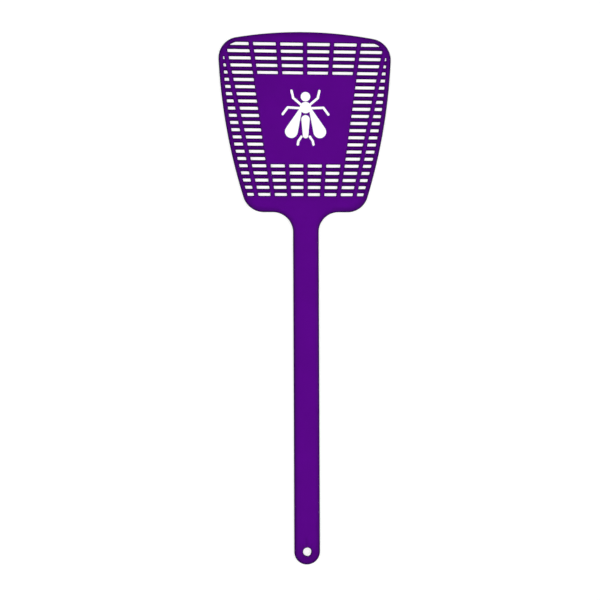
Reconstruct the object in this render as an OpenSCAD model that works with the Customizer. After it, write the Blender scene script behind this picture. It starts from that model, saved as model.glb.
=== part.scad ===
// Fly swatter: a flat strip handle and a flat slotted head, moulded in one piece of plastic.
// It lies on its back. X runs across it, +Y runs from the heel of the handle to the head,
// and +Z is the printed front. The origin is under the middle of its length, on the back face.

/* [Handle] */
// Length from the heel of the handle to the top of the head
total_len = 400; // [390:1:430]
// Width of the strip
handle_w = 19.3; // [17:0.1:21]
// Thickness of the strip
handle_t = 3.2; // [3:0.1:3.6]
// Radius rolled onto the four long edges of the strip
handle_edge_r = 1.4; // [0.8:0.1:1.4]
// Radius of the hanging hole
hole_r = 3.175; // [2:0.005:4]
// Length of the heel that carries the hanging hole
eye_len = 22; // [20:1:30]

/* [Flexing] */
// Height above the heel at which the strip bends just above the hand
shaft_flex_y = 112; // [90:1:130]
// Height above the heel at which the strip bends below the head
head_flex_y = 205; // [180:1:226]
// Gap between a round knuckle and its seat
flex_clearance = 0.05; // [0.03:0.01:0.08]

/* [Head] */
// Height of the head from the shoulders to the top
head_len = 135.3; // [134:0.1:140]
// Width between the side arcs, level with the top
head_w = 131.1; // [129:0.1:134]
// Radius of the top edge
crown_r = 300; // [280:5:340]
// Radius of the bowed sides
side_r = 420; // [380:5:460]
// Radius of the four corners
corner_r = 16; // [15:0.5:18]
// Radius of the concave fillets where the handle meets the shoulders
neck_r = 15; // [12:0.5:18]
// Thickness of the rim, ribs and solid panels
head_t = 2.4; // [2.2:0.1:2.8]

/* [Grid] */
// Width of the rim around the grid
rim_w = 3.4; // [2.6:0.1:3.6]
// Centre of the first row of slots, below the top
first_row = 9.1; // [8.5:0.1:10]
// Distance from one row of slots to the next
slot_pitch = 5.38; // [5.3:0.01:5.4]
// Height of a slot
slot_h = 2.15; // [2:0.05:2.6]
// Radius in the corners of the slots
slot_corner_r = 0.5; // [0.4:0.1:0.7]
// Width of a rib
rib_w = 3.4; // [2.8:0.1:3.5]
// Spacing of the ribs along the first row of slots
rib_pitch_top = 20.4; // [20:0.1:20.6]
// Spacing of the ribs along the last row of slots
rib_pitch_bottom = 12.45; // [12:0.05:12.8]
// Thickness of the slats, which are sunk below both faces of the ribs
slat_t = 1.6; // [1.2:0.1:1.8]

/* [Print] */
// Height of the printed fly
mark_h = 42; // [30:1:48]
// Thickness of the ink
ink_t = 0.1; // [0.05:0.05:0.2]

/* [Hidden] */
SLOT_ROWS = 22;
OUTER_RIB = 3;
PANEL_RIB = 2;
LAST_ROW_ABOVE_PANEL = 5;
FIRST_ROW_BELOW_PANEL = 18;
RIB_NAMES = [
    "rib_left_outer", "rib_left_middle", "rib_left_inner", "rib_centre",
    "rib_right_inner", "rib_right_middle", "rib_right_outer"
];
PLASTIC = [0.35, 0.03, 0.53];
INK = "white";
FAR = 500;

ARC_STEPS = 20;
ROUND_FN = 96;
CORNER_FN = 16;

heel_r = handle_w / 2;
shoulder_y = total_len - head_len;
neck_foot_y = shoulder_y - neck_r;
neck_top_y = shoulder_y - 4;
knuckle_r = handle_t / 2;
knuckle_w = handle_w - 2 * handle_edge_r;
flex_relief = 0.8;

crown_centre = [0, total_len - crown_r];
side_centre = [head_w / 2 - side_r, total_len];
top_corner = circles_meet(crown_centre, crown_r - corner_r, side_centre, side_r - corner_r);
low_corner_y = shoulder_y + corner_r;
low_corner_dy = low_corner_y - side_centre.y;
low_corner_x = side_centre.x + sqrt(pow(side_r - corner_r, 2) - pow(low_corner_dy, 2));
low_corner = [low_corner_x, low_corner_y];

// How far the fillets in the slots run up the ribs
fillet_reach = 0.6 * slot_corner_r;
// The solid ends of the head stand back from their slots by this hair, which leaves no burrs
slot_relief = 0.01;

grid_top_y = row_y(1) + slot_h / 2;
grid_low_y = row_y(SLOT_ROWS) - slot_h / 2;
panel_top_y = row_y(LAST_ROW_ABOVE_PANEL) - slot_h / 2;
panel_low_y = row_y(FIRST_ROW_BELOW_PANEL) + slot_h / 2;
mark_y = (panel_top_y + panel_low_y) / 2 + 2;

// ---- geometry in the plane of the swatter, with the heel at y = 0 ----

function direction(from, to) = atan2(to.y - from.y, to.x - from.x);

// The point right of the line c1-c2 at distance r1 from c1 and r2 from c2
function circles_meet(c1, r1, c2, r2) =
    let (
        d = norm(c2 - c1),
        along = (r1 * r1 - r2 * r2 + d * d) / (2 * d),
        across = sqrt(r1 * r1 - along * along),
        u = (c2 - c1) / d
    )
    c1 + along * u + across * [u.y, -u.x];

function arc(centre, r, from, to) =
    [for (k = [0 : ARC_STEPS - 1]) centre + r * unit(from + (to - from) * k / ARC_STEPS)];

function unit(angle) = [cos(angle), sin(angle)];

// Right half of the head's outline, moved inwards, from the top down to the shoulder line
function head_half(inset) =
    let (
        crown_end = direction(crown_centre, top_corner),
        side_start = direction(side_centre, top_corner),
        side_end = direction(side_centre, low_corner)
    )
    concat(
        arc(crown_centre, crown_r - inset, 90, crown_end),
        arc(top_corner, corner_r - inset, crown_end, side_start),
        arc(side_centre, side_r - inset, side_start, side_end),
        arc(low_corner, corner_r - inset, side_end, -90),
        [[low_corner.x, shoulder_y + inset]]
    );

// Right half of the neck, from the shoulder line down to the straight strip
function neck_half() =
    concat(
        arc([handle_w / 2 + neck_r, neck_foot_y], neck_r, 90, 180),
        [[handle_w / 2, neck_foot_y]]
    );

function mirrored(half) = [for (k = [len(half) - 1 : -1 : 0]) [-half[k].x, half[k].y]];

function row_y(row) = total_len - first_row - (row - 1) * slot_pitch;

function rib_pitch(y) =
    rib_pitch_bottom + (rib_pitch_top - rib_pitch_bottom)
    * (y - row_y(SLOT_ROWS)) / (row_y(1) - row_y(SLOT_ROWS));

function slats_name(row) = str("slats_row_", row < 10 ? "0" : "", row);

module head_shape(inset = 0) {
    polygon(concat(head_half(inset), mirrored(head_half(inset))));
}

module neck_shape() {
    polygon(concat(neck_half(), mirrored(neck_half())));
}

// Everything between two heights
module band(low, high) {
    translate([-FAR / 2, low])
        square([FAR, high - low]);
}

// The strip between two lines that follow the ribs, each side offset from its rib's centre
module between_ribs(left, right, grow, low, high) {
    polygon([
        [left * rib_pitch(low) - grow, low],
        [right * rib_pitch(low) + grow, low],
        [right * rib_pitch(high) + grow, high],
        [left * rib_pitch(high) - grow, high]
    ]);
}

module rib_shape(index, low = grid_low_y, high = grid_top_y) {
    between_ribs(index, index, rib_w / 2, low, high);
}

// All the ribs, with the inner ones parted by the middle panel
module ribs_shape() {
    for (index = [-OUTER_RIB : OUTER_RIB])
        rib_lines(index);
}

module rib_lines(index) {
    if (abs(index) < PANEL_RIB) {
        rib_shape(index, low = panel_top_y);
        rib_shape(index, high = panel_low_y);
    } else {
        rib_shape(index);
    }
}

// The slots of one row, with round corners
module slots(row) {
    y = row_y(row);
    beside_panel = row > LAST_ROW_ABOVE_PANEL && row < FIRST_ROW_BELOW_PANEL;
    offset(r = slot_corner_r, $fn = CORNER_FN)
        offset(delta = -slot_corner_r)
            difference() {
                intersection() {
                    head_shape(rim_w);
                    band(y - slot_h / 2, y + slot_h / 2);
                }
                ribs_shape();
                if (beside_panel)
                    between_ribs(-PANEL_RIB, PANEL_RIB, 0, panel_low_y, panel_top_y);
            }
}

// The part of the grid between two heights that is neither rib nor slot
module web_shape(low, high, first, last) {
    difference() {
        intersection() {
            head_shape(rim_w);
            band(low, high);
        }
        ribs_shape();
        for (row = [first : last])
            slots(row);
    }
}

// A solid end of the head: the whole outline between two heights, less the rims, ribs and slots
module end_shape(low, high, row) {
    difference() {
        intersection() {
            union() {
                head_shape();
                neck_shape();
            }
            band(low, high);
        }
        rims_shape();
        ribs_shape();
        offset(delta = slot_relief)
            slots(row);
    }
}

// The rims on both sides of the grid
module rims_shape() {
    difference() {
        intersection() {
            head_shape();
            band(grid_low_y, grid_top_y);
        }
        head_shape(rim_w);
    }
}

// ---- solids ----

// Moves a shape drawn from the heel so that the origin is at the middle of the length
module placed() {
    translate([0, -total_len / 2, 0])
        color(PLASTIC)
            children();
}

module plate(t = head_t, z = 0) {
    placed()
        translate([0, 0, z])
            linear_extrude(t)
                children();
}

// Cross-section of the strip from x = 0 to its right edge
module half_section() {
    r = handle_edge_r;
    square([handle_w / 2 - r, handle_t]);
    translate([0, r])
        square([handle_w / 2, handle_t - 2 * r]);
    for (z = [r, handle_t - r])
        translate([handle_w / 2 - r, z])
            circle(r, $fn = ROUND_FN);
}

module strip(low, high) {
    translate([0, high, 0])
        rotate([90, 0, 0])
            linear_extrude(high - low)
                union() {
                    half_section();
                    mirror([1, 0])
                        half_section();
                }
}

module axle(y, r, width) {
    translate([0, y, handle_t / 2])
        rotate([0, 90, 0])
            cylinder(h = width, r = r, center = true, $fn = ROUND_FN);
}

// A length of strip that ends in a seat for the next knuckle
module seated_strip(low, flex_y) {
    difference() {
        strip(low, flex_y - flex_relief);
        axle(flex_y, knuckle_r + flex_clearance, knuckle_w + 2 * flex_clearance);
    }
}

module hang_eye() {
    placed()
        difference() {
            union() {
                translate([0, heel_r, 0])
                    rotate([0, 0, 180])
                        rotate_extrude(angle = 180, $fn = ROUND_FN)
                            half_section();
                strip(heel_r, eye_len);
            }
            translate([0, heel_r, -1])
                cylinder(h = handle_t + 2, r = hole_r, $fn = ROUND_FN);
        }
}

module grip() {
    placed()
        seated_strip(eye_len, shaft_flex_y);
}

module shaft() {
    placed()
        union() {
            axle(shaft_flex_y, knuckle_r, knuckle_w);
            seated_strip(shaft_flex_y, head_flex_y);
        }
}

// Thins from the strip to the head over the lower part of the fillets
module neck() {
    placed()
        union() {
            axle(head_flex_y, knuckle_r, knuckle_w);
            strip(head_flex_y, neck_foot_y);
            intersection() {
                linear_extrude(handle_t)
                    intersection() {
                        neck_shape();
                        band(neck_foot_y, neck_top_y);
                    }
                translate([-FAR / 2, 0, 0])
                    rotate([90, 0, 90])
                        linear_extrude(FAR)
                            polygon([
                                [neck_foot_y, 0],
                                [neck_top_y, 0],
                                [neck_top_y, head_t],
                                [neck_foot_y, handle_t]
                            ]);
            }
        }
}

module throat() {
    plate()
        end_shape(neck_top_y, grid_low_y + fillet_reach, SLOT_ROWS);
}

module crown() {
    plate()
        end_shape(grid_top_y - fillet_reach, total_len, 1);
}

module rim(side) {
    plate()
        intersection() {
            rims_shape();
            translate([min(0, side * FAR), 0])
                square([FAR, total_len]);
        }
}

module rib(index) {
    plate()
        intersection() {
            head_shape(rim_w);
            rib_lines(index);
        }
}

module slats(row) {
    beside_panel = row >= LAST_ROW_ABOVE_PANEL && row < FIRST_ROW_BELOW_PANEL;
    low = row_y(row + 1) + slot_h / 2 - fillet_reach;
    high = row_y(row) - slot_h / 2 + fillet_reach;
    plate(slat_t, (head_t - slat_t) / 2)
        difference() {
            web_shape(low, high, row, row + 1);
            if (beside_panel)
                between_ribs(-PANEL_RIB, PANEL_RIB, 0, low, high);
        }
}

module centre_panel() {
    plate()
        difference() {
            between_ribs(
                -PANEL_RIB, PANEL_RIB, 0,
                panel_low_y - fillet_reach, panel_top_y + fillet_reach
            );
            ribs_shape();
            slots(LAST_ROW_ABOVE_PANEL);
            slots(FIRST_ROW_BELOW_PANEL);
        }
}

// ---- the print: a plain house fly seen from above, drawn 10 units high ----

module bar(from, to, w) {
    translate(from)
        rotate(atan2(to.y - from.y, to.x - from.x))
            translate([0, -w / 2])
                square([norm(to - from), w]);
    for (end = [from, to])
        translate(end)
            circle(w / 2, $fn = ROUND_FN / 2);
}

module fly_half() {
    leg_w = 0.42;
    // wing
    hull() {
        translate([0.95, 1.1])
            circle(0.28, $fn = 32);
        translate([2.55, -2.7])
            circle(1.15, $fn = 32);
    }
    // front, middle and hind legs
    bar([0.9, 2.2], [2.2, 3.3], leg_w);
    bar([2.2, 3.3], [2.5, 4.6], leg_w);
    bar([1.2, 1.5], [3.2, 1.6], leg_w);
    bar([3.2, 1.6], [4.1, 0.4], leg_w);
    bar([0.75, -3.6], [1.3, -4.4], leg_w);
    bar([1.3, -4.4], [1.4, -5], leg_w);
}

module fly() {
    // head, thorax and abdomen
    translate([0, 3.55])
        circle(0.85, $fn = ROUND_FN);
    translate([0, 1.6])
        circle(1.02, $fn = ROUND_FN);
    hull() {
        translate([0, -0.5])
            circle(0.75, $fn = 32);
        translate([0, -3.4])
            circle(0.5, $fn = 32);
    }
    fly_half();
    mirror([1, 0])
        fly_half();
}

module printed_mark() {
    translate([0, mark_y - total_len / 2, head_t])
        color(INK)
            linear_extrude(ink_t)
                offset(delta = 0)
                    scale(mark_h / 10)
                        fly();
}

hang_eye();
grip();
shaft();
neck();
throat();
crown();
rim(-1);  // rim_left
rim(1);  // rim_right
for (index = [-OUTER_RIB : OUTER_RIB])
    rib(index);
for (row = [1 : SLOT_ROWS - 1])
    slats(row);
centre_panel();
printed_mark();
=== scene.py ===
import math

import bmesh
import bpy
import numpy as np
from mathutils import Matrix, Vector
from mathutils.geometry import delaunay_2d_cdt


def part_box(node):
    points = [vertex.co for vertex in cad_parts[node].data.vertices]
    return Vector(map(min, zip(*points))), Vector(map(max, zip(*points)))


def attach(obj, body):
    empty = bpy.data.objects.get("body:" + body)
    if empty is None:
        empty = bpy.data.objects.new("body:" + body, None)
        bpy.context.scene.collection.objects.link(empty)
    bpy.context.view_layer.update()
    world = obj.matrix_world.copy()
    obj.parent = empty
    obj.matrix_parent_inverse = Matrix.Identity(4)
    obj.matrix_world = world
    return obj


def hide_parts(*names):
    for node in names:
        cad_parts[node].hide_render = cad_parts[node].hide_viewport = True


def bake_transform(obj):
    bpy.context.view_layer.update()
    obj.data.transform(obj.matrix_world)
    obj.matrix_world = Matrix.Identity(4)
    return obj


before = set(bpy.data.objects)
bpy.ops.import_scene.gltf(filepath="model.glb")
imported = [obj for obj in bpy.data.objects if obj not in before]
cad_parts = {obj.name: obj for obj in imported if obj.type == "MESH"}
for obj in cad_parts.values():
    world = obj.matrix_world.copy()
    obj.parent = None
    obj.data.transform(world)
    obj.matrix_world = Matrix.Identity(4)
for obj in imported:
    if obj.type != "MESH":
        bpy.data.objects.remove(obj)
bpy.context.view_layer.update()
MM = 0.001

# ---- camera ---------------------------------------------------------------------------------------

# It looks straight down from a metre away, turned a little round the swatter's long axis
CAMERA_DISTANCE = 1.0
CAMERA_YAW = math.radians(5.4)
CAMERA_ROLL = math.radians(0.23)
CAMERA_AIM = Vector((-4.6 * MM, -1.3 * MM, 1.2 * MM))
LENS, SENSOR = 79.86, 36.0


def make_camera():
    data = bpy.data.cameras.new("camera")
    camera = bpy.data.objects.new("camera", data)
    bpy.context.scene.collection.objects.link(camera)
    data.sensor_width = SENSOR
    data.lens = LENS
    data.clip_start, data.clip_end = 0.01, 60.0
    back = Vector((-math.sin(CAMERA_YAW), 0.0, math.cos(CAMERA_YAW)))
    up = Vector((math.sin(CAMERA_ROLL), math.cos(CAMERA_ROLL), 0.0))
    right = up.cross(back).normalized()
    up = back.cross(right)
    turn = Matrix((right, up, back)).transposed().to_4x4()
    camera.matrix_world = Matrix.Translation(CAMERA_AIM + back * CAMERA_DISTANCE) @ turn
    bpy.context.scene.camera = camera


make_camera()

# ---- sizes, in millimetres from the heel of the handle --------------------------------------------

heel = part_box("hang_eye")[0].y


def from_heel(y):
    """A height in the row frame, as millimetres from the heel."""
    return (y - heel) / MM


def low_of(node):
    return from_heel(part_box(node)[0].y)


def high_of(node):
    return from_heel(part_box(node)[1].y)


TOP_Y = high_of("crown")
GRID_LOW, GRID_TOP = low_of("rim_left"), high_of("rim_left")
PITCH = high_of("slats_row_01") - high_of("slats_row_02")
ROW_1 = (low_of("slats_row_01") + high_of("slats_row_01")) / 2 + PITCH / 2
ROWS = sum(name.startswith("slats_row_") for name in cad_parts) + 1
SLOT_H = 2 * (GRID_TOP - ROW_1)
RIB_W = (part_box("rib_centre")[1].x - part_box("rib_centre")[0].x) / MM
RIB_STEP_LOW = (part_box("rib_right_middle")[0].x / MM + RIB_W / 2) / 2
RIB_STEP_TOP = (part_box("rib_right_middle")[1].x / MM - RIB_W / 2) / 2
HANDLE_W = (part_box("grip")[1].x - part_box("grip")[0].x) / MM
HANDLE_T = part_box("grip")[1].z / MM
PLATE_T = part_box("crown")[1].z / MM
NECK_TOP = low_of("throat")
EYE_TOP = high_of("hang_eye")
HOLE_Y = HANDLE_W / 2

LAST_ROW_ABOVE_PANEL = 5
FIRST_ROW_BELOW_PANEL = 18
FIRST_OUTER_ROW = 3
HEAD_W = 131.1
CROWN_R, SIDE_R, CORNER_R, NECK_R, RIM_W = 300.0, 420.0, 16.0, 15.0, 3.4
HOLE_R = 3.175
SLOT_CORNER_R, NARROW_CORNER_R = 0.5, 0.3
SHOULDER_ABOVE_NECK = 4.0
SHOULDER_Y = NECK_TOP + SHOULDER_ABOVE_NECK
NECK_FOOT = SHOULDER_Y - NECK_R
# How far each edge is rounded, across the face and down the side
PLATE_EDGE = (1.15, 1.05)
STRIP_EDGE = (2.6, 1.5)
HOLE_EDGE = (0.55, 0.55)
CAP_STEP = 0.12
PARTING_H, PARTING_OUT = 0.06, 0.04
FACE_DROP = 0.14


def row_y(row):
    return ROW_1 - (row - 1) * PITCH


PANEL_TOP = row_y(LAST_ROW_ABOVE_PANEL) - SLOT_H / 2
PANEL_LOW = row_y(FIRST_ROW_BELOW_PANEL) + SLOT_H / 2
WEDGE_TOP = row_y(FIRST_OUTER_ROW) + SLOT_H / 2


def rib_step(y):
    """Spacing of the ribs at a height."""
    return RIB_STEP_LOW + (RIB_STEP_TOP - RIB_STEP_LOW) * (y - GRID_LOW) / (GRID_TOP - GRID_LOW)


def rib_edge(index, side, y):
    return index * rib_step(y) + side * RIB_W / 2


def circles_meet(c1, r1, c2, r2):
    """The right-hand point where two circles cross."""
    between = c2 - c1
    d = between.length
    along = (r1 * r1 - r2 * r2 + d * d) / (2 * d)
    across = math.sqrt(r1 * r1 - along * along)
    u = between / d
    return c1 + along * u + across * Vector((u.y, -u.x))


CROWN_C = Vector((0.0, TOP_Y - CROWN_R))
SIDE_C = Vector((HEAD_W / 2 - SIDE_R, TOP_Y))
TOP_CORNER = circles_meet(CROWN_C, CROWN_R - CORNER_R, SIDE_C, SIDE_R - CORNER_R)
LOW_CORNER_Y = SHOULDER_Y + CORNER_R
LOW_CORNER = Vector(
    (SIDE_C.x + math.sqrt((SIDE_R - CORNER_R) ** 2 - (LOW_CORNER_Y - SIDE_C.y) ** 2), LOW_CORNER_Y)
)


def rim_inner_x(y):
    """Right-hand inner edge of the rim at a height."""
    corner_r = CORNER_R - RIM_W
    if y > TOP_CORNER.y + (TOP_CORNER - SIDE_C).y / (SIDE_R - CORNER_R) * corner_r:
        return TOP_CORNER.x + math.sqrt(max(0.0, corner_r**2 - (y - TOP_CORNER.y) ** 2))
    if y < LOW_CORNER.y + (LOW_CORNER - SIDE_C).y / (SIDE_R - CORNER_R) * corner_r:
        return LOW_CORNER.x + math.sqrt(max(0.0, corner_r**2 - (y - LOW_CORNER.y) ** 2))
    return SIDE_C.x + math.sqrt((SIDE_R - RIM_W) ** 2 - (y - SIDE_C.y) ** 2)


# ---- outlines ---------------------------------------------------------------------------------------

# Spacing of the points along the arcs
HEEL_STEP, NECK_STEP, CORNER_STEP, LONG_STEP, BOW_STEP, HOLE_STEP = 0.9, 1.1, 1.3, 3.0, 1.6, 0.42
# Points along the straight strip: above the eye, and the last one below the neck
STRIP_POINTS, STRIP_LAST = (0.0, 60.0, 130.0), 30.0
ROUND_STEPS = 5
WEDGE_STEPS = 34
MEET_STEP = 0.002


def arc(centre, r, start, end, step):
    """Points on an arc, angles in radians, ends included."""
    n = max(2, round(abs(end - start) * r / step))
    angles = [start + (end - start) * k / n for k in range(n + 1)]
    return [Vector((centre.x + r * math.cos(a), centre.y + r * math.sin(a))) for a in angles]


def heading(a, b):
    return math.atan2(b.y - a.y, b.x - a.x)


def swatter_outline():
    """The whole outline, anticlockwise, from the middle of the heel."""
    heel_c = Vector((0.0, HANDLE_W / 2))
    half = arc(heel_c, HANDLE_W / 2, -math.pi / 2, 0.0, HEEL_STEP)
    straight = [EYE_TOP + up for up in STRIP_POINTS] + [NECK_FOOT - STRIP_LAST]
    half += [Vector((HANDLE_W / 2, y)) for y in straight]
    neck_c = Vector((HANDLE_W / 2 + NECK_R, NECK_FOOT))
    half += arc(neck_c, NECK_R, math.pi, math.pi / 2, NECK_STEP)
    side_low = heading(SIDE_C, LOW_CORNER)
    half += arc(LOW_CORNER, CORNER_R, -math.pi / 2, side_low, CORNER_STEP)
    side_top = heading(SIDE_C, TOP_CORNER)
    half += arc(SIDE_C, SIDE_R, side_low, side_top, LONG_STEP)[1:]
    crown_end = heading(CROWN_C, TOP_CORNER)
    half += arc(TOP_CORNER, CORNER_R, side_top, crown_end, CORNER_STEP)[1:]
    half += arc(CROWN_C, CROWN_R, crown_end, math.pi / 2, LONG_STEP)[1:]
    left = [Vector((-p.x, p.y)) for p in reversed(half[1:-1])]
    return half + left


def rounded(corners):
    """A polygon whose corners are given as (point, radius), rounded where the radius isn't 0."""
    made = []
    count = len(corners)
    for k, (p, r) in enumerate(corners):
        if not r:
            made.append(p)
            continue
        a = (corners[k - 1][0] - p).normalized()
        b = (corners[(k + 1) % count][0] - p).normalized()
        half_angle = math.acos(max(-1.0, min(1.0, a.dot(b)))) / 2
        back = r / math.tan(half_angle)
        centre = p + (a + b).normalized() * (r / math.sin(half_angle))
        start, end = p + a * back, p + b * back
        t0, t1 = heading(centre, start), heading(centre, end)
        turn = (t1 - t0 + math.pi) % (2 * math.pi) - math.pi
        for s in range(ROUND_STEPS + 1):
            t = t0 + turn * s / ROUND_STEPS
            made.append(Vector((centre.x + r * math.cos(t), centre.y + r * math.sin(t))))
    return made


def clockwise(points):
    area = sum(a.x * b.y - b.x * a.y for a, b in zip(points, points[1:] + points[:1]))
    return points if area < 0 else points[::-1]


def mirrored(points):
    return [Vector((-p.x, p.y)) for p in points]


def window_between(index, low, high):
    """The opening between two straight ribs."""
    return [
        (Vector((rib_edge(index, 1, low), low)), SLOT_CORNER_R),
        (Vector((rib_edge(index + 1, -1, low), low)), SLOT_CORNER_R),
        (Vector((rib_edge(index + 1, -1, high), high)), SLOT_CORNER_R),
        (Vector((rib_edge(index, 1, high), high)), SLOT_CORNER_R),
    ]


def outer_window():
    """The opening between the middle and the outer rib, which ends on the rim at the top."""
    corner_r = CORNER_R - RIM_W
    start = math.asin((GRID_TOP - TOP_CORNER.y) / corner_r)
    meet = start
    while True:
        p = TOP_CORNER + corner_r * Vector((math.cos(meet), math.sin(meet)))
        if p.x >= rib_edge(3, -1, p.y):
            break
        meet -= MEET_STEP
    bow = arc(TOP_CORNER, corner_r, start, meet, BOW_STEP)
    corners = [
        (Vector((rib_edge(2, 1, GRID_LOW), GRID_LOW)), SLOT_CORNER_R),
        (Vector((rib_edge(3, -1, GRID_LOW), GRID_LOW)), SLOT_CORNER_R),
        (bow[-1], SLOT_CORNER_R),
    ]
    corners += [(p, 0) for p in reversed(bow[:-1])]
    corners.append((Vector((rib_edge(2, 1, GRID_TOP), GRID_TOP)), SLOT_CORNER_R))
    return corners


def wedge_window():
    """The opening between the outer rib and the rim."""
    rise = WEDGE_TOP - GRID_LOW
    heights = [GRID_LOW + rise * k / WEDGE_STEPS for k in range(WEDGE_STEPS + 1)]
    radii = [SLOT_CORNER_R] + [0] * (WEDGE_STEPS - 1) + [NARROW_CORNER_R]
    corners = [(Vector((rib_edge(3, 1, GRID_LOW), GRID_LOW)), SLOT_CORNER_R)]
    for y, r in zip(heights, radii):
        corners.append((Vector((rim_inner_x(y), y)), r))
    corners.append((Vector((rib_edge(3, 1, WEDGE_TOP), WEDGE_TOP)), NARROW_CORNER_R))
    return corners


def windows():
    made = []
    for index in (0, 1):
        made.append(window_between(index, PANEL_TOP, GRID_TOP))
        made.append(window_between(index, GRID_LOW, PANEL_LOW))
    made += [outer_window(), wedge_window()]
    right = [rounded(w) for w in made]
    return right + [mirrored(w) for w in right]


OUTLINE = swatter_outline()
WINDOWS = [clockwise(w) for w in windows()]
EYE = clockwise(arc(Vector((0.0, HOLE_Y)), HOLE_R, 0.0, 2 * math.pi, HOLE_STEP)[:-1])

# ---- painted shade: how dark the plastic is coloured at each place ----------------------------------

# Maps of how much plastic lies round a place, near by and further off
MAP_STEP = 0.25
MAP_MARGIN = 12.0
NEAR_SPREAD, WIDE_SPREAD = 0.9, 3.5
# Share of plastic and how light the painted shade leaves the colour there, at the low and at the high end
NEAR_PAINTED_SHADE = (0.5, 0.3, 1.0, 1.0)
WIDE_PAINTED_SHADE = (0.5, 0.62, 0.84, 1.0)
PAINTED_SHADE_LAYER = "lit"


def crossings(y, loops):
    found = []
    for loop in loops:
        for a, b in zip(loop, loop[1:] + loop[:1]):
            if (a.y > y) != (b.y > y):
                found.append(a.x + (b.x - a.x) * (y - a.y) / (b.y - a.y))
    return sorted(found)


def on_slat(y):
    """Whether a height runs along a row of slats."""
    down = (ROW_1 - y) / PITCH
    return 0 < down < ROWS - 1 and abs(down % 1 - 0.5) < (1 - SLOT_H / PITCH) / 2


def solid_map():
    """A grid that is 1 where the front view shows plastic and 0 elsewhere."""
    wide = int((HEAD_W + 2 * MAP_MARGIN) / MAP_STEP)
    high = int((TOP_Y + 2 * MAP_MARGIN) / MAP_STEP)
    grid = np.zeros((high, wide))
    for j in range(high):
        y = (j + 0.5) * MAP_STEP - MAP_MARGIN
        loops = [OUTLINE] if on_slat(y) else [OUTLINE, EYE, *WINDOWS]
        ends = [round((x + HEAD_W / 2 + MAP_MARGIN) / MAP_STEP) for x in crossings(y, loops)]
        for start, end in zip(ends[::2], ends[1::2]):
            grid[j, start:end] = 1.0
    return grid


def blurred(grid, spread):
    reach = int(3 * spread / MAP_STEP)
    offsets = range(-reach, reach + 1)
    weights = [math.exp(-0.5 * (k * MAP_STEP / spread) ** 2) for k in offsets]
    for axis in (0, 1):
        grid = sum(w * np.roll(grid, k, axis) for w, k in zip(weights, offsets)) / sum(weights)
    return grid


SOLID_MAP = solid_map()
NEAR_MAP = blurred(SOLID_MAP, NEAR_SPREAD)
WIDE_MAP = blurred(SOLID_MAP, WIDE_SPREAD)


def sampled(grid, x, y):
    """Value of a map at a place, from its four nearest cells."""
    u = (x + HEAD_W / 2 + MAP_MARGIN) / MAP_STEP - 0.5
    v = (y + MAP_MARGIN) / MAP_STEP - 0.5
    i, j = int(u), int(v)
    fu, fv = u - i, v - j
    low = grid[j, i] * (1 - fu) + grid[j, i + 1] * fu
    high = grid[j + 1, i] * (1 - fu) + grid[j + 1, i + 1] * fu
    return float(low * (1 - fv) + high * fv)


def ramp(value, low, at_low, high, at_high):
    t = max(0.0, min(1.0, (value - low) / (high - low)))
    return at_low + (at_high - at_low) * t


def mark_painted_shade(bm):
    """Keeps on each vertex a painted shade: the colour is darker near an edge and in the open work."""
    layer = bm.verts.layers.float.new(PAINTED_SHADE_LAYER)
    for v in bm.verts:
        near = sampled(NEAR_MAP, v.co.x, v.co.y)
        wide = sampled(WIDE_MAP, v.co.x, v.co.y)
        # Painted shade: the colour is darkened near edges and between the slots, standing in for the shade
        # there
        v[layer] = ramp(near, *NEAR_PAINTED_SHADE) * ramp(wide, *WIDE_PAINTED_SHADE)


# ---- the moulding, as one skin ----------------------------------------------------------------------


def smooth(t):
    t = max(0.0, min(1.0, t))
    return t * t * (3 - 2 * t)


def thickness(y):
    return HANDLE_T + (PLATE_T - HANDLE_T) * smooth((y - NECK_FOOT) / (NECK_TOP - NECK_FOOT))


def edge_radii(y):
    share = smooth((y - NECK_FOOT) / (NECK_TOP - NECK_FOOT))
    return [a + (b - a) * share for a, b in zip(STRIP_EDGE, PLATE_EDGE)]


ROLL = [math.radians(a) for a in (90, 72, 54, 36, 18, 0)]


def section(y, radii):
    """(inset, height) of every ring of the moulding's edge, from the front face to the back."""
    t = thickness(y)
    rx, rz = radii or edge_radii(y)
    front = [(rx + CAP_STEP, t)] + [(rx * (1 - math.cos(a)), t - rz + rz * math.sin(a)) for a in ROLL]
    middle = [(0.0, t / 2 + PARTING_H), (-PARTING_OUT, t / 2), (0.0, t / 2 - PARTING_H)]
    back = [(inset, t - z) for inset, z in reversed(front)]
    return front + middle + back


def add_wall(bm, loop, radii=None):
    """Rings of vertices round one loop of the outline, joined by quads. Returns the first and last ring."""
    count = len(loop)
    rings = None
    for k, p in enumerate(loop):
        before = (p - loop[k - 1]).normalized()
        after = (loop[(k + 1) % count] - p).normalized()
        n1, n2 = Vector((-before.y, before.x)), Vector((-after.y, after.x))
        mitre = (n1 + n2) / (1 + n1.dot(n2))
        column = []
        for inset, z in section(p.y, radii):
            q = p + mitre * inset
            column.append(bm.verts.new((q.x, q.y, z)))
        rings = rings or []
        rings.append(column)
    for k in range(count):
        a, b = rings[k], rings[(k + 1) % count]
        for j in range(len(a) - 1):
            bm.faces.new((a[j], a[j + 1], b[j + 1], b[j]))
    return [c[0] for c in rings], [c[-1] for c in rings]


def inside(point, loop):
    hit = False
    for a, b in zip(loop, loop[1:] + loop[:1]):
        if (a.y > point.y) != (b.y > point.y):
            if point.x < (b.x - a.x) * (point.y - a.y) / (b.y - a.y) + a.x:
                hit = not hit
    return hit


LATTICE = 3.0
CLEAR_OF_EDGES = 0.99


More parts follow.
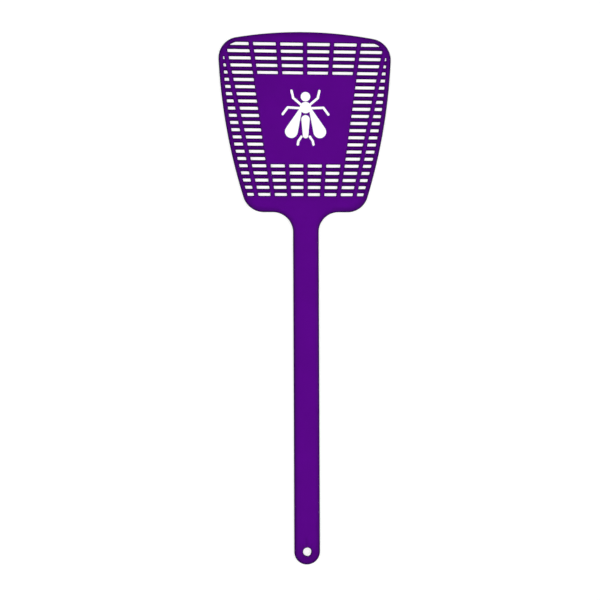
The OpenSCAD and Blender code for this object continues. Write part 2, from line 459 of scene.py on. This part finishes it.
def lattice(holes):
    """Points spread over the head's broad faces, clear of every edge."""
    columns = int(HEAD_W / 2 / LATTICE)
    rows = int((TOP_Y - NECK_FOOT) / LATTICE)
    made = []
    for i in range(-columns, columns + 1):
        for j in range(rows):
            p = Vector((i * LATTICE, NECK_FOOT + (j + 0.5) * LATTICE))
            if sampled(NEAR_MAP, p.x, p.y) > CLEAR_OF_EDGES and not any(inside(p, h) for h in holes):
                made.append(p)
    return made


def add_cap(bm, loops, front):
    """Fills the flat face between the outline and the openings."""
    verts = [v for loop in loops for v in loop]
    flat = [Vector((v.co.x, v.co.y)) for v in verts]
    edges, start = [], 0
    for loop in loops:
        n = len(loop)
        edges += [(start + k, start + (k + 1) % n) for k in range(n)]
        start += n
    holes = [[Vector((v.co.x, v.co.y)) for v in loop] for loop in loops[1:]]
    for p in lattice(holes):
        flat.append(p)
        verts.append(bm.verts.new((p.x, p.y, thickness(p.y) if front else 0.0)))
    points, _, faces, source, _, _ = delaunay_2d_cdt(flat, edges, [], 1, 1e-6)
    for face in faces:
        middle = sum((points[i] for i in face), Vector((0.0, 0.0))) / len(face)
        if any(inside(middle, h) for h in holes):
            continue
        corners = [verts[source[i][0]] for i in face]
        area = sum(
            a.co.x * b.co.y - b.co.x * a.co.y for a, b in zip(corners, corners[1:] + corners[:1])
        )
        if (area > 0) != front:
            corners.reverse()
        bm.faces.new(corners)


def cut(bm, point, normal, faces=None):
    """Puts edges where a plane crosses the skin, or crosses some of its faces."""
    if faces is None:
        geometry = bm.verts[:] + bm.edges[:] + bm.faces[:]
    else:
        geometry = set(faces)
        for f in faces:
            geometry.update(f.edges)
            geometry.update(f.verts)
    bmesh.ops.bisect_plane(bm, geom=list(geometry), plane_co=point, plane_no=normal, dist=1e-5)


FLEX_LOWER_START, FLEX_SPLIT = 64.0, 160.0
STATION = 4.0
# Cuts along the strip, which let its front be a little higher in the middle
LONG_CUTS = (-6.4, -4.2, -2.0, 0.0, 2.0, 4.2, 6.4)


def moulding_skin():
    bm = bmesh.new()
    walls = [add_wall(bm, OUTLINE)] + [add_wall(bm, h) for h in WINDOWS] + [add_wall(bm, EYE, HOLE_EDGE)]
    add_cap(bm, [w[0] for w in walls], True)
    add_cap(bm, [w[1] for w in walls], False)
    half_rows = [ROW_1 - k * PITCH / 2 for k in range(2 * ROWS - 1)]
    for y in (NECK_FOOT, NECK_TOP, *half_rows):
        cut(bm, (0, y, 0), (0, 1, 0))
    stations = [EYE_TOP + STATION * k for k in range(int((NECK_TOP - EYE_TOP) / STATION) + 1)]
    stations += [FLEX_LOWER_START, FLEX_SPLIT, HANDLE_W / 2]
    for y in sorted(set(stations)):
        cut(bm, (0, y, 0), (0, 1, 0))
    for x in LONG_CUTS:
        low = [f for f in bm.faces if f.calc_center_median().y < NECK_TOP]
        cut(bm, (x, 0, 0), (1, 0, 0), low)
    for v in bm.verts:
        soften_face(v)
    mark_painted_shade(bm)
    return bm


def soften_face(v):
    """The strip's front is a little higher along its middle."""
    away = abs(v.co.x)
    if v.co.y < HANDLE_W / 2:
        away = math.hypot(v.co.x, v.co.y - HANDLE_W / 2)
    fade = 1 - smooth((v.co.y - NECK_FOOT) / (NECK_TOP - NECK_FOOT))
    t = thickness(v.co.y)
    lift = max(0.0, 2 * v.co.z / t - 1)
    v.co.z -= FACE_DROP * min(1.0, away / (HANDLE_W / 2)) ** 2 * fade * lift


RIB_PLACES = {0: "centre", 1: "inner", 2: "middle", 3: "outer"}


def rib_name(index):
    side = "" if index == 0 else ("left_" if index < 0 else "right_")
    return side + RIB_PLACES[abs(index)]


def piece_of(x, y):
    """Name of the piece that owns a face of the moulding."""
    for high, name in (
        (EYE_TOP, "hanging_eye"),
        (FLEX_LOWER_START, "grip_strip"),
        (FLEX_SPLIT, "flex_strip_lower"),
        (NECK_FOOT, "flex_strip_upper"),
        (NECK_TOP, "neck_flare"),
        (row_y(ROWS), "throat_web"),
    ):
        if y < high:
            return name
    index = max(-3, min(3, round(x / rib_step(y))))
    outer = abs(x) > 2.5 * rib_step(y)
    if y > row_y(1) or (outer and y > row_y(FIRST_OUTER_ROW)):
        return "crown_band"
    if outer:
        if abs(x) > (rib_edge(3, 1, y) + rim_inner_x(y)) / 2:
            return "rim_rail_left" if x < 0 else "rim_rail_right"
        return "rib_bar_" + rib_name(index)
    if row_y(FIRST_ROW_BELOW_PANEL) < y < row_y(LAST_ROW_ABOVE_PANEL):
        return "panel_plate"
    end = "_upper" if y > PANEL_TOP else "_lower"
    return "rib_bar_" + rib_name(index) + end


def to_frame(bm):
    """From millimetres above the heel to the row frame."""
    matrix = Matrix.Translation((0, heel, 0)) @ Matrix.Scale(MM, 4)
    bmesh.ops.transform(bm, matrix=matrix, verts=bm.verts[:])


def add_object(name, bm, material):
    mesh = bpy.data.meshes.new(name)
    bm.to_mesh(mesh)
    bm.free()
    obj = bpy.data.objects.new(name, mesh)
    bpy.context.scene.collection.objects.link(obj)
    mesh.materials.append(material)
    return obj


def split_moulding(skin, material):
    """One closed object per piece."""
    owner = {}
    for f in skin.faces:
        c = f.calc_center_median()
        owner.setdefault(piece_of(c.x, c.y), set()).add(f.index)
    made = {}
    for name in sorted(owner):
        bm = skin.copy()
        bm.faces.ensure_lookup_table()
        gone = [f for f in bm.faces if f.index not in owner[name]]
        bmesh.ops.delete(bm, geom=gone, context="FACES")
        for f in bm.faces:
            f.smooth = True
        rim = [e for e in bm.edges if e.is_boundary]
        for e in rim:
            e.smooth = False
        closed = bmesh.ops.holes_fill(bm, edges=rim, sides=0)["faces"]
        for f in closed:
            f.smooth = False
        bmesh.ops.recalc_face_normals(bm, faces=bm.faces[:])
        to_frame(bm)
        made[name] = add_object(name, bm, material)
    skin.free()
    return made


# ---- slats ------------------------------------------------------------------------------------------

# Half of a slat's section: share of its half height across, and height above the back in mm
SLAT_SECTION = [
    (0.0, 2.15), (0.1, 2.13), (0.22, 2.04), (0.45, 1.78), (0.7, 1.46), (0.88, 1.18),
    (0.97, 0.95), (1.0, 0.72), (0.98, 0.5), (0.9, 0.35), (0.75, 0.27), (0.4, 0.25),
]
# Places along a slat, from its end: inside the rib, in the fillet and clear of it
BURIED = 0.5
FLARE = [0.02, 0.07, 0.15, 0.27, 0.4, 0.5]
ALONG = [1.0, 1.8]


def slat_ring():
    right = SLAT_SECTION
    left = [(-a, z) for a, z in reversed(SLAT_SECTION[1:])]
    return right + [(0.0, SLAT_SECTION[-1][1])] + left


def flare(d):
    """How much the fillet widens a slat at a distance from its end."""
    if d >= SLOT_CORNER_R:
        return 0.0
    return SLOT_CORNER_R - math.sqrt(SLOT_CORNER_R**2 - (SLOT_CORNER_R - d) ** 2)


def add_slat(bm, row, left, right):
    """One bar between two edges, each given as a function of the height."""
    middle = row_y(row) - PITCH / 2
    half = (PITCH - SLOT_H) / 2
    ring = slat_ring()
    room = (right(middle) - left(middle)) / 2
    steps = [d for d in (-BURIED, *FLARE, *ALONG) if d < 0.9 * room]
    stations = [(left, 1, d) for d in steps] + [(right, -1, d) for d in reversed(steps)]
    rings = []
    for edge, way, d in stations:
        wider = flare(max(d, FLARE[0]))
        column = []
        for across, z in ring:
            y = middle + across * (half + wider)
            column.append(bm.verts.new((edge(y) + way * d, y, z)))
        rings.append(column)
    n = len(ring)
    for a, b in zip(rings, rings[1:]):
        for k in range(n):
            bm.faces.new((a[k], a[(k + 1) % n], b[(k + 1) % n], b[k]))
    bm.faces.new(rings[0])
    bm.faces.new(list(reversed(rings[-1])))


def slat_spans(row):
    """The gaps that a row of slats crosses, on the right-hand half."""
    spans = []
    beside_panel = LAST_ROW_ABOVE_PANEL <= row < FIRST_ROW_BELOW_PANEL
    if not beside_panel:
        for index in (0, 1):
            spans.append((lambda y, k=index: rib_edge(k, 1, y), lambda y, k=index: rib_edge(k + 1, -1, y)))
    spans.append((lambda y: rib_edge(2, 1, y), lambda y: min(rib_edge(3, -1, y), rim_inner_x(y))))
    if row >= FIRST_OUTER_ROW:
        spans.append((lambda y: rib_edge(3, 1, y), rim_inner_x))
    return spans


def make_slats(row, material):
    bm = bmesh.new()
    for left, right in slat_spans(row):
        add_slat(bm, row, left, right)
        add_slat(bm, row, lambda y, f=right: -f(y), lambda y, f=left: -f(y))
    for f in bm.faces:
        f.smooth = len(f.verts) == 4
    bmesh.ops.recalc_face_normals(bm, faces=bm.faces[:])
    mark_painted_shade(bm)
    to_frame(bm)
    return add_object(f"slat_bars_{row:02d}", bm, material)


# ---- materials --------------------------------------------------------------------------------------

PLASTIC = (0.0883, 0.0003, 0.215)
# Near-black purple that the painted shade darkens the plastic towards at edges and in the open work
PAINTED_SHADE_COLOUR = (0.002, 0.0002, 0.012)
# Painted shade: the slats' plastic is coloured darker than the rest, standing in for the shade on the thin
# bars
SLAT_PAINTED_SHADE = 0.82
TINT_SPREAD = 0.05


def noise(tree, coords, scale, detail=3.0, roughness=0.55):
    n = tree.nodes.new("ShaderNodeTexNoise")
    n.inputs["Scale"].default_value = scale
    n.inputs["Detail"].default_value = detail
    n.inputs["Roughness"].default_value = roughness
    tree.links.new(coords, n.inputs["Vector"])
    return n.outputs["Fac"]


def ranged(tree, value, low, high, from_low=0.3, from_high=0.7):
    n = tree.nodes.new("ShaderNodeMapRange")
    n.inputs["From Min"].default_value = from_low
    n.inputs["From Max"].default_value = from_high
    n.inputs["To Min"].default_value = low
    n.inputs["To Max"].default_value = high
    tree.links.new(value, n.inputs["Value"])
    return n.outputs["Result"]


def mixed(tree, factor, a, b):
    n = tree.nodes.new("ShaderNodeMix")
    n.data_type = "RGBA"
    n.inputs[6].default_value = (*a, 1.0)
    n.inputs[7].default_value = (*b, 1.0)
    tree.links.new(factor, n.inputs[0])
    return n.outputs[2]


def new_material(name):
    material = bpy.data.materials.new(name)
    material.use_nodes = True
    tree = material.node_tree
    shader = tree.nodes["Principled BSDF"]
    coords = tree.nodes.new("ShaderNodeTexCoord").outputs["Object"]
    return material, tree, shader, coords


def bumped(tree, shader, height, distance, strength):
    bump = tree.nodes.new("ShaderNodeBump")
    bump.inputs["Distance"].default_value = distance
    bump.inputs["Strength"].default_value = strength
    tree.links.new(height, bump.inputs["Height"])
    tree.links.new(bump.outputs["Normal"], shader.inputs["Normal"])


def edge_shaded(tree, colour):
    """Painted shade: the colour fades towards a near-black purple where the mesh's painted-shade layer is
    low.
    """
    lit = tree.nodes.new("ShaderNodeAttribute")
    lit.attribute_name = PAINTED_SHADE_LAYER
    n = tree.nodes.new("ShaderNodeMix")
    n.data_type = "RGBA"
    n.inputs[6].default_value = (*PAINTED_SHADE_COLOUR, 1.0)
    tree.links.new(lit.outputs["Fac"], n.inputs[0])
    tree.links.new(colour, n.inputs[7])
    return n.outputs[2]


def plastic_material(name, painted_shade_factor):
    """Injection-moulded plastic: faint flow marks in the colour, a fine orange-peel skin, the whole colour
    scaled by a painted-shade factor.
    """
    material, tree, shader, coords = new_material(name)
    dark = [c * painted_shade_factor * (1 - TINT_SPREAD) for c in PLASTIC]
    light = [c * painted_shade_factor * (1 + TINT_SPREAD) for c in PLASTIC]
    flow = noise(tree, coords, 28.0, 2.0)
    colour = mixed(tree, ranged(tree, flow, 0.0, 1.0), dark, light)
    tree.links.new(edge_shaded(tree, colour), shader.inputs["Base Color"])
    rough = ranged(tree, noise(tree, coords, 160.0, 4.0), 0.36, 0.5)
    tree.links.new(rough, shader.inputs["Roughness"])
    shader.inputs["Specular IOR Level"].default_value = 0.025
    bumped(tree, shader, noise(tree, coords, 1400.0, 2.0), 0.00004, 0.25)
    return material


def ink_material():
    """White ink, slightly uneven."""
    material, tree, shader, coords = new_material("printed_ink")
    cover = ranged(tree, noise(tree, coords, 300.0, 3.0), 0.0, 1.0)
    tree.links.new(mixed(tree, cover, (0.93, 0.93, 0.94), (0.98, 0.98, 0.98)), shader.inputs["Base Color"])
    tree.links.new(ranged(tree, noise(tree, coords, 600.0), 0.5, 0.65), shader.inputs["Roughness"])
    shader.inputs["Specular IOR Level"].default_value = 0.3
    bumped(tree, shader, noise(tree, coords, 2400.0, 2.0), 0.00003, 0.3)
    return material


# ---- the swatter ------------------------------------------------------------------------------------

plastic = plastic_material("moulded_plastic", 1.0)
# The slats get the same plastic with a painted shade that makes it darker
slat_plastic = plastic_material("moulded_plastic_slats", SLAT_PAINTED_SHADE)
parts = split_moulding(moulding_skin(), plastic)


def bend(name):
    """Bakes a length of strip's placement into its mesh."""
    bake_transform(parts[name])


for name in ("hanging_eye", "grip_strip"):
    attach(parts[name], "grip")
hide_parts("hang_eye")
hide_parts("grip")
bend("flex_strip_lower")
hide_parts("grip", "shaft")
bend("flex_strip_upper")
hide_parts("shaft", "neck")
for name, cad_node in (
    ("neck_flare", "neck"),
    ("throat_web", "throat"),
    ("crown_band", "crown"),
    ("panel_plate", "centre_panel"),
    ("rim_rail_left", "rim_left"),
    ("rim_rail_right", "rim_right"),
):
    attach(parts[name], "head")
    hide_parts(cad_node)
for name, obj in parts.items():
    if name.startswith("rib_bar_"):
        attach(obj, "head")
        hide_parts(name.replace("_bar_", "_").replace("_upper", "").replace("_lower", ""))
for row in range(1, ROWS):
    slats = make_slats(row, slat_plastic)
    parts[slats.name] = slats
    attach(slats, "head")
    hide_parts(f"slats_row_{row:02d}")

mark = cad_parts["printed_mark"]
mark.data.materials.clear()
mark.data.materials.append(ink_material())

# ---- stage and light --------------------------------------------------------------------------------

FLOOR_R, FLOOR_Z = 9.0, -0.0002
DOME_R = 18.0
# Glow of the floor at two distances from its middle, in metres
GLOW_FROM, GLOW_TO = 0.35, 1.2
GLOW_NEAR, GLOW_FAR = 0.63, 1.1
FLOOR_GREY = (0.4, 0.4, 0.4, 1.0)
BACKDROP_GLOW = 1.1
WORLD_LIGHT = 0.04


def put_on_stage(obj):
    """Stage pieces are seen by the camera and light nothing."""
    obj.visible_diffuse = False
    obj.visible_glossy = False
    obj.visible_shadow = False


def floor_material():
    """Pale, self-lit from above and open from below, so that the back can be looked at."""
    material = bpy.data.materials.new("floor")
    material.use_nodes = True
    tree = material.node_tree
    tree.nodes.clear()
    out = tree.nodes.new("ShaderNodeOutputMaterial")
    glow = tree.nodes.new("ShaderNodeEmission")
    place = tree.nodes.new("ShaderNodeTexCoord").outputs["Object"]
    away = tree.nodes.new("ShaderNodeVectorMath")
    away.operation = "LENGTH"
    tree.links.new(place, away.inputs[0])
    strength = ranged(tree, away.outputs["Value"], GLOW_NEAR, GLOW_FAR, GLOW_FROM, GLOW_TO)
    tree.links.new(strength, glow.inputs["Strength"])
    matt = tree.nodes.new("ShaderNodeBsdfDiffuse")
    matt.inputs["Color"].default_value = FLOOR_GREY
    both = tree.nodes.new("ShaderNodeAddShader")
    open_side = tree.nodes.new("ShaderNodeBsdfTransparent")
    facing = tree.nodes.new("ShaderNodeNewGeometry")
    choose = tree.nodes.new("ShaderNodeMixShader")
    tree.links.new(glow.outputs[0], both.inputs[0])
    tree.links.new(matt.outputs[0], both.inputs[1])
    tree.links.new(facing.outputs["Backfacing"], choose.inputs[0])
    tree.links.new(both.outputs[0], choose.inputs[1])
    tree.links.new(open_side.outputs[0], choose.inputs[2])
    tree.links.new(choose.outputs[0], out.inputs["Surface"])
    return material


def make_floor():
    bm = bmesh.new()
    bmesh.ops.create_circle(bm, cap_ends=True, radius=FLOOR_R, segments=96)
    for v in bm.verts:
        v.co.z = FLOOR_Z
    put_on_stage(add_object("floor", bm, floor_material()))


def backdrop_material():
    material = bpy.data.materials.new("backdrop")
    material.use_nodes = True
    tree = material.node_tree
    tree.nodes.clear()
    glow = tree.nodes.new("ShaderNodeEmission")
    glow.inputs["Strength"].default_value = BACKDROP_GLOW
    out = tree.nodes.new("ShaderNodeOutputMaterial")
    tree.links.new(glow.outputs[0], out.inputs["Surface"])
    return material


def make_backdrop():
    bm = bmesh.new()
    bmesh.ops.create_uvsphere(bm, u_segments=48, v_segments=24, radius=DOME_R)
    put_on_stage(add_object("backdrop", bm, backdrop_material()))


make_floor()
make_backdrop()


def softbox(name, direction, distance, size, power):
    """A rectangular lamp that faces the origin, which it stands away from in metres."""
    data = bpy.data.lights.new(name, "AREA")
    data.shape = "RECTANGLE"
    data.size, data.size_y = size
    data.energy = power
    lamp = bpy.data.objects.new(name, data)
    bpy.context.scene.collection.objects.link(lamp)
    towards = Vector(direction).normalized()
    lamp.location = towards * distance
    lamp.rotation_mode = "QUATERNION"
    lamp.rotation_quaternion = towards.to_track_quat("Z", "Y")


TILT = math.tan(math.radians(36))
KEY_AWAY, KEY_SIZE, KEY_POWER = 1.6, (0.9, 1.2), 13.1
FILL_AWAY, FILL_SIZE = 1.7, (1.2, 0.7)
TOP_POWER, BOTTOM_POWER = 6.2, 6.9
UNDER_AWAY, UNDER_SIZE, UNDER_POWER = 1.6, (0.6, 0.6), 26.0
softbox("key_left", (-TILT, 0, 1), KEY_AWAY, KEY_SIZE, KEY_POWER)
softbox("key_right", (TILT, 0, 1), KEY_AWAY, KEY_SIZE, KEY_POWER)
softbox("fill_top", (0, TILT, 1), FILL_AWAY, FILL_SIZE, TOP_POWER)
softbox("fill_bottom", (0, -TILT, 1), FILL_AWAY, FILL_SIZE, BOTTOM_POWER)
softbox("under", (0, 0, -1), UNDER_AWAY, UNDER_SIZE, UNDER_POWER)

world = bpy.data.worlds.new("world")
bpy.context.scene.world = world
world.use_nodes = True
world.node_tree.nodes["Background"].inputs["Color"].default_value = (1.0, 1.0, 1.0, 1.0)
world.node_tree.nodes["Background"].inputs["Strength"].default_value = WORLD_LIGHT
bpy.context.scene.view_settings.view_transform = "Standard"
